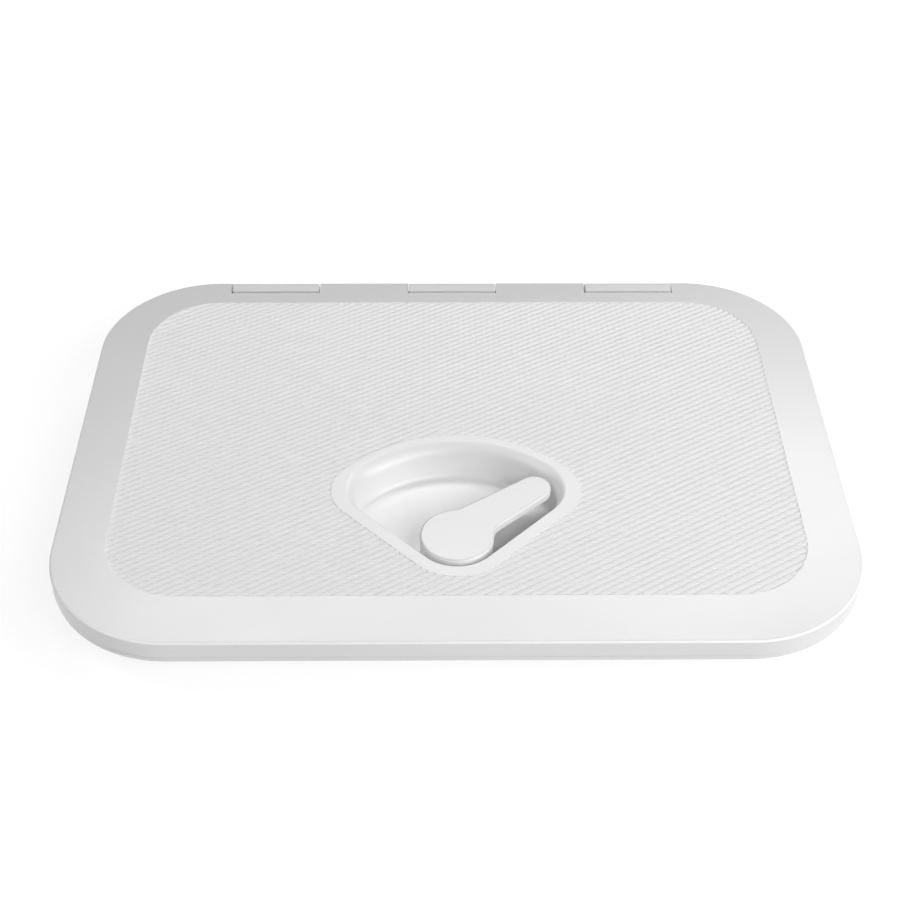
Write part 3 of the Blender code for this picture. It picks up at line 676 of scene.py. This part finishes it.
def make_hinge_skin(name):
    """Hinge block with rounded upper edges and soft ends, bored for its pin and screws."""
    low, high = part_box(f"hinge_block_{name}")
    front, back = BLOCK_FRONT, high[1]
    front_round, back_round, foot_round = 0.5 * MM, 3 * MM, 1.2 * MM
    foot_top = BLOCK_FOOT_TOP
    profile = [(low[1], low[2]), (back, low[2])]
    profile += arc(back - back_round, high[2] - back_round, back_round, 0, 90, 10)
    profile += arc(front + front_round, high[2] - front_round, front_round, 90, 180, 10)
    profile += [(front, foot_top)]
    profile += arc(low[1] + foot_round, foot_top - foot_round, foot_round, 90, 180, 5)
    skin = side_profile(f"hinge_block_skin_{name}", profile, low[0], high[0])
    bevel = skin.modifiers.new("soft_ends", "BEVEL")
    bevel.width = 0.5 * MM
    bevel.segments = 3
    bevel.limit_method = "ANGLE"
    bevel.angle_limit = math.radians(60)
    settle(skin)
    bore = circle(HINGE_Y, HINGE_Z, PIN_BORE, 32)
    cut(skin, side_profile("bore", bore, low[0] - OVER, high[0] + OVER))
    pilots = bmesh.new()
    for side in ("a", "b"):
        screw_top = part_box(f"hinge_screw_{name}_{side}")[1][2]
        hole = circle(*screw_place(name, side), SCREW_PILOT, 32)
        add_loft(pilots, [(hole, low[2] - OVER), (hole, screw_top + 0.3 * MM)])
    cut(skin, link("pilots", pilots))
    smooth(skin)
    place(skin, "frame", "white_plastic", hinge_white, f"hinge_block_{name}")


# ---------------------------------------------------------------- lid

def pocket_levels(grow=0.0):
    """The hand pocket from its floor up: a flat floor, a crease, a dished wall and a soft lip.

    Each row gives, in millimetres, the outline's front and back distance from the handle's
    axis, its corner radius, and its rise above the floor.
    """
    shape = [
        (18.9, 54.0, 14.4, 0.0),
        (18.95, 55.8, 15.2, 0.25),
        (19.0, 57.0, 16.0, 0.9),
        (19.05, 57.6, 16.6, 1.9),
        (19.1, 58.2, 17.2, 3.2),
        (19.2, 59.0, 18.0, 5.0),
        (19.3, 59.9, 18.8, 7.0),
        (19.35, 60.8, 19.6, 9.0),
        (19.4, 61.6, 20.2, 10.6),
        (19.45, 62.4, 20.7, 11.8),
        (19.5, 63.4, 21.1, 12.8),
        (19.6, 64.5, 21.5, 13.6),
        (19.8, 65.7, 21.8, 14.25),
        (20.1, 66.9, 22.0, 14.7),
        (20.5, 68.2, 22.2, 15.0),
    ]
    levels = []
    for front, back, corner, rise in shape:
        outline = fan(front * MM + grow, back * MM + grow, corner * MM + grow)
        levels.append((outline, POCKET_FLOOR + rise * MM))
    return levels


def diamond_cell(bm, corners, x, y):
    """One rhombus: a raised flat top drawn out one way, and four slopes down to the grooves."""
    half_x, half_y = DIAMOND_WIDTH / 2, DIAMOND_DEPTH / 2
    rim, top = [], []
    for along, across in ((1, 1), (1, -1), (-1, -1), (-1, 1)):
        step_x, step_y = (along + across) / 2, (along - across) / 2
        corner_x, corner_y = x + step_x * half_x, y + step_y * half_y
        key = (round(corner_x / half_x), round(corner_y / half_y))
        if key not in corners:
            corners[key] = bm.verts.new((corner_x, corner_y, TREAD_BASE))
        rim.append(corners[key])
        length, breadth = along * DIAMOND_LENGTH_FLAT, across * DIAMOND_BREADTH_FLAT
        top.append(bm.verts.new((
            x + (length + breadth) / 2 * half_x,
            y + (length - breadth) / 2 * half_y,
            DIAMOND_TOP,
        )))
    bm.faces.new(top)
    for i in range(4):
        j = (i + 1) % 4
        bm.faces.new((rim[i], rim[j], top[j], top[i]))


def diamond_slab():
    """Closed slab with diamonds all over its top, a little bigger than the field."""
    bm = bmesh.new()
    corners = {}
    columns = math.ceil((FIELD_WIDTH / 2) / (DIAMOND_WIDTH / 2)) + 1
    first_row = math.floor(FIELD_FRONT / (DIAMOND_DEPTH / 2)) - 1
    last_row = math.ceil(FIELD_BACK / (DIAMOND_DEPTH / 2)) + 1
    for column in range(-columns, columns + 1):
        for row in range(first_row, last_row + 1):
            if (column + row) % 2 == 0:
                diamond_cell(bm, corners, column * DIAMOND_WIDTH / 2, row * DIAMOND_DEPTH / 2)
    for face in bm.faces:
        face.normal_update()
        if face.normal.z < 0:
            face.normal_flip()
    border = [edge for edge in bm.edges if edge.is_boundary]
    dropped = bmesh.ops.extrude_edge_only(bm, edges=border)["geom"]
    lowered = [v for v in dropped if isinstance(v, bmesh.types.BMVert)]
    for vert in lowered:
        vert.co.z = TREAD_BASE - 0.5 * MM
    bottom = [e for e in dropped if isinstance(e, bmesh.types.BMEdge) and e.is_boundary]
    bmesh.ops.contextual_create(bm, geom=bottom)
    return link("diamond_slab", bm)


def add_tread(lid):
    """Cut the slab to the field's outline, leave out the pocket's lip, and fuse it to the lid."""
    bite = 0.15 * MM               # overlap with what surrounds the tread
    low, high = TREAD_BASE - 0.3 * MM, LID_TOP + OVER
    slab = diamond_slab()
    outline = field_outline(bite)
    combine(slab, loft("field_limit", [(outline, low), (outline, high)]), "INTERSECT")
    lip = lip_outline(-bite)
    cut(slab, loft("lip_limit", [(lip, low - OVER), (lip, high + OVER)]))
    join(lid, slab)


def channel_wall(near, far):
    """One wall of the channel that holds the seal, between two offsets from the seal's middle."""
    high = LID_UNDER + 0.5 * MM
    section = [(seal_outline(far), CHANNEL_BOTTOM), (seal_outline(near), CHANNEL_BOTTOM)]
    section += [(seal_outline(near), high), (seal_outline(far), high)]
    return ring("channel", section)


def add_lid_ribs(lid):
    """Stiffening ribs inside the seal, set a little apart in height so that they join cleanly."""
    step = 0.1 * MM
    reach_x = COAMING_WIDTH / 2 - COAMING_WALL / 2 - SEAL_WIDTH / 2 - RIB
    reach_y = COAMING_DEPTH / 2 - COAMING_WALL / 2 - SEAL_WIDTH / 2 - RIB
    high = LID_UNDER + 0.5 * MM
    for x in RIBS_ACROSS:
        low = (x - RIB / 2, -reach_y, RIB_BOTTOM)
        join(lid, box("rib", low, (x + RIB / 2, reach_y, high)))
    for y in RIBS_ALONG:
        low = (-reach_x, y - RIB / 2, RIB_BOTTOM + step)
        join(lid, box("rib", low, (reach_x, y + RIB / 2, high + step)))


def add_hinge_notch(lid, name):
    """Two lugs on the pin's axis, and between them a notch with room for the block to turn."""
    block_low, block_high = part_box(f"hinge_block_{name}")
    x = (block_low[0] + block_high[0]) / 2
    lug_half = NOTCH_HALF + LUG_LENGTH
    lug_top = LID_UNDER + 0.8 * MM
    profile = [(HINGE_Y + LUG_RADIUS, lug_top), (HINGE_Y - LUG_RADIUS, lug_top)]
    profile += arc(HINGE_Y, HINGE_Z, LUG_RADIUS, 180, 360, 24)
    join(lid, side_profile("lugs", profile, x - lug_half, x + lug_half))
    low = (x - NOTCH_HALF, NOTCH_FRONT, DECK)
    cut(lid, box("notch", low, (x + NOTCH_HALF, DEPTH / 2 + OVER, LID_TOP + OVER)))
    swing = circle(HINGE_Y, HINGE_Z, SWING_RADIUS, 64)
    half = NOTCH_HALF - 0.01 * MM
    cut(lid, side_profile("swing", swing, x - half, x + half))
    bore = circle(HINGE_Y, HINGE_Z, PIN_BORE, 32)
    cut(lid, side_profile("bore", bore, x - lug_half - OVER, x + lug_half + OVER))


def make_lid_skin():
    """Lid with a round edge, sunk tread field, hand pocket, seal channel, ribs and hinge lugs."""
    overlap = 0.5 * MM
    lid = loft("lid_skin", edge_levels(lid_outline, SKIRT_BOTTOM, LID_TOP, LID_EDGE, 8))
    inside = lid_outline(SKIRT)
    cut(lid, loft("inside", [(inside, SKIRT_BOTTOM - OVER), (inside, LID_UNDER)]))
    rear_low = (-WIDTH / 2, REAR_SKIRT_Y, SKIRT_BOTTOM - OVER)
    cut(lid, box("relief", rear_low, (WIDTH / 2, DEPTH / 2 + OVER, REAR_SKIRT_BOTTOM)))

    round_start, round_middle = LID_TOP - 0.18 * MM, LID_TOP - 0.05 * MM
    half_out, full_out = 0.06 * MM, 0.2 * MM
    field = [(field_outline(), LID_TOP - FIELD_STEP), (field_outline(), round_start)]
    field += [(field_outline(half_out), round_middle), (field_outline(full_out), LID_TOP)]
    cut(lid, loft("field", field + [(field_outline(full_out), LID_TOP + OVER)]))
    lip = [(lip_outline(), LID_UNDER + overlap), (lip_outline(), round_start)]
    lip += [(lip_outline(-half_out), round_middle), (lip_outline(-full_out), LID_TOP)]
    join(lid, loft("lip", lip))
    join(lid, channel_wall(-SEAL_WIDTH / 2 - RIB, -SEAL_WIDTH / 2 - overlap))
    join(lid, channel_wall(SEAL_WIDTH / 2 + overlap, SEAL_WIDTH / 2 + RIB))
    add_lid_ribs(lid)

    shell = [(outline, z - SHELL) for outline, z in pocket_levels(SHELL)]
    join(lid, loft("shell", shell))
    boss = circle(0, PIVOT_Y, BOSS_RADIUS)
    join(lid, loft("boss", [(boss, BOSS_BOTTOM), (boss, POCKET_FLOOR - 1 * MM)]))
    pocket = pocket_levels()
    cut(lid, loft("pocket", pocket + [(pocket[-1][0], LID_TOP + OVER)]))
    bore = circle(0, PIVOT_Y, SPINDLE_BORE)
    cut(lid, loft("bore", [(bore, BOSS_BOTTOM - OVER), (bore, POCKET_FLOOR + OVER)]))
    for name in HINGE_NAMES:
        add_hinge_notch(lid, name)
    add_tread(lid)
    smooth(lid)
    place(lid, "lid", "white_plastic", lid_white, "lid")


def make_gasket_skin():
    """Solid seal: a flat back, two flanks and a round lip that faces the frame's rim."""
    half = SEAL_WIDTH / 2
    section = [(seal_outline(half), SEAL_TOP)]
    steps = 18
    for i in range(steps + 1):
        angle = math.pi * i / steps
        height = SEAL_BOTTOM + SEAL_LIP * (1 - math.sin(angle) ** SEAL_FULLNESS)
        section.append((seal_outline(half * math.cos(angle)), height))
    section.append((seal_outline(-half), SEAL_TOP))
    seal = ring("gasket_skin", section)
    smooth(seal)
    place(seal, "lid", "seal_rubber", seal_black, "lid_gasket")


# ---------------------------------------------------------------- lever

def make_lever_skin():
    """Lever with a rounded top edge, a hollow hub, a web under the arm and its spindle."""
    under = LEVER_TOP - ARM_THICKNESS
    hub_bottom = POCKET_FLOOR + 0.5 * MM
    soft = 0.4 * MM
    levels = [(handle_outline(soft), under), (handle_outline(soft * 0.3), under + soft * 0.3)]
    levels += edge_levels(handle_outline, under + soft, LEVER_TOP, LEVER_EDGE, 8)
    lever = loft("lever_skin", levels)
    hub = circle(0, 0, HUB_RADIUS - 0.15 * MM, 96)
    join(lever, loft("hub", [(hub, hub_bottom), (hub, under + OVER)]))
    add_arm_web(lever, under)
    outer = circle(0, 0, HUB_RADIUS - HUB_WALL, 64)
    inner = circle(0, 0, SPINDLE + HUB_WALL, 64)
    hollow = [(outer, hub_bottom - OVER), (outer, under)]
    hollow += [(inner, under), (inner, hub_bottom - OVER)]
    cut(lever, ring("hollow", hollow))
    add_spindle(lever, hub_bottom)
    lever.location = (0, PIVOT_Y, 0)
    smooth(lever)
    place(lever, "handle", "white_plastic", lever_white, "handle_lever")


def add_arm_web(lever, under):
    """Stiffening web along the middle of the arm, deepest at the hub."""
    half = 1.5 * MM
    reach = 34 * MM
    deep = 8 * MM
    shallow = 1 * MM
    top = under + 1 * MM
    profile = [(-reach, top), (-reach, under - deep), (-reach / 2, under - deep / 2.5)]
    profile += [(0, under - shallow), (0, top)]
    web = side_profile("web", profile, -half, half)
    turn = (LEFT_SIDE_ANGLE + RIGHT_SIDE_ANGLE) / 2 - math.pi / 2
    web.data.transform(Matrix.Translation((*TIP, 0)) @ Matrix.Rotation(turn, 4, "Z"))
    join(lever, web)


def add_spindle(lever, hub_bottom):
    """Round spindle with a groove for the O-ring, a square end for the cam and a screw bore."""
    round_end = CAM_HIGH[2] + CAM_GAP
    spindle = circle(0, 0, SPINDLE, 48)
    join(lever, loft("spindle", [(spindle, round_end), (spindle, hub_bottom + OVER)]))
    half = SQUARE_HALF
    square_end = CAM_LOW[2] + CAM_GAP
    join(lever, box("square", (-half, -half, square_end), (half, half, round_end + OVER)))
    low, high = O_RING_LOW[2] - GROOVE_EASE, O_RING_HIGH[2] + GROOVE_EASE
    groove_outer = circle(0, 0, SPINDLE + OVER, 48)
    groove_inner = circle(0, 0, SPINDLE - GROOVE_DEPTH, 48)
    groove = [(groove_outer, low), (groove_outer, high), (groove_inner, high), (groove_inner, low)]
    cut(lever, ring("groove", groove))
    bore = circle(0, 0, SCREW_BORE, 32)
    cut(lever, loft("screw_bore", [(bore, square_end - OVER), (bore, DECK)]))


# ---------------------------------------------------------------- carried-over nodes

def dress_nodes():
    """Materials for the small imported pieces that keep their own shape."""
    dress = {"spindle_o_ring": seal_black, "thrust_washer": natural_nylon}
    dress.update({"latch_cam": filled_nylon, "cam_washer": turned_steel, "cam_screw": turned_steel})
    for name in HINGE_NAMES:
        dress[f"hinge_pin_{name}"] = steel
        for side in ("a", "b"):
            dress[f"hinge_screw_{name}_{side}"] = turned_steel
    for node, shader in dress.items():
        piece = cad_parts[node]
        piece.data.materials.clear()
        piece.data.materials.append(shader)


# ---------------------------------------------------------------- studio

def make_camera():
    """Camera in front of the hatch and above it, looking 41 degrees down."""
    camera = bpy.data.cameras.new("camera")
    camera.sensor_width = SENSOR_WIDTH
    camera.lens = SENSOR_WIDTH * FOCAL_IN_FRAMES
    camera.clip_start = 0.01
    camera.clip_end = 50
    seat = bpy.data.objects.new("camera", camera)
    bpy.context.scene.collection.objects.link(seat)
    heading = Matrix.Rotation(-YAW, 4, "Z")
    tilt = Matrix.Rotation(math.pi / 2 - PITCH, 4, "X")
    lean = Matrix.Rotation(ROLL, 4, "Z")
    seat.matrix_world = Matrix.Translation(CAMERA_PLACE) @ heading @ tilt @ lean
    bpy.context.scene.camera = seat


def add_softbox(name, azimuth, elevation, width, height, strength):
    """Rectangular light at an azimuth (0 is behind the hatch, clockwise from above)."""
    flat = math.radians(azimuth)
    rise = math.radians(elevation)
    across = math.cos(rise)
    direction = Vector((math.sin(flat) * across, math.cos(flat) * across, math.sin(rise)))
    light = bpy.data.lights.new(name, "AREA")
    light.shape = "RECTANGLE"
    light.size = width
    light.size_y = height
    light.energy = strength * width * height * math.pi
    piece = bpy.data.objects.new(name, light)
    bpy.context.scene.collection.objects.link(piece)
    piece.location = LIGHT_AIM + direction * LIGHT_REACH
    piece.rotation_euler = (-direction).to_track_quat("-Z", "Y").to_euler()


def make_studio():
    """Dim white surroundings, the softboxes, and a pale floor that glows a little."""
    scene = bpy.context.scene
    scene.view_settings.view_transform = "Standard"
    world = bpy.data.worlds.new("studio")
    scene.world = world
    world.use_nodes = True
    background = world.node_tree.nodes["Background"]
    background.inputs["Color"].default_value = (1, 1, 1, 1)
    background.inputs["Strength"].default_value = WORLD_STRENGTH
    for light in LIGHTS:
        add_softbox(*light)

    bm = bmesh.new()
    bmesh.ops.create_grid(bm, x_segments=1, y_segments=1, size=FLOOR_HALF)
    floor = link("floor", bm)
    paper, _, surface, _ = node_material("paper", 0.9)
    surface.inputs["Base Color"].default_value = (FLOOR_GREY, FLOOR_GREY, FLOOR_GREY, 1)
    surface.inputs["Specular IOR Level"].default_value = 0.0
    surface.inputs["Emission Color"].default_value = (1, 1, 1, 1)
    surface.inputs["Emission Strength"].default_value = FLOOR_GLOW
    floor.data.materials.append(paper)


make_camera()
make_studio()
make_frame_skin()
for hinge in HINGE_NAMES:
    make_hinge_skin(hinge)
make_lid_skin()
make_gasket_skin()
make_lever_skin()
dress_nodes()
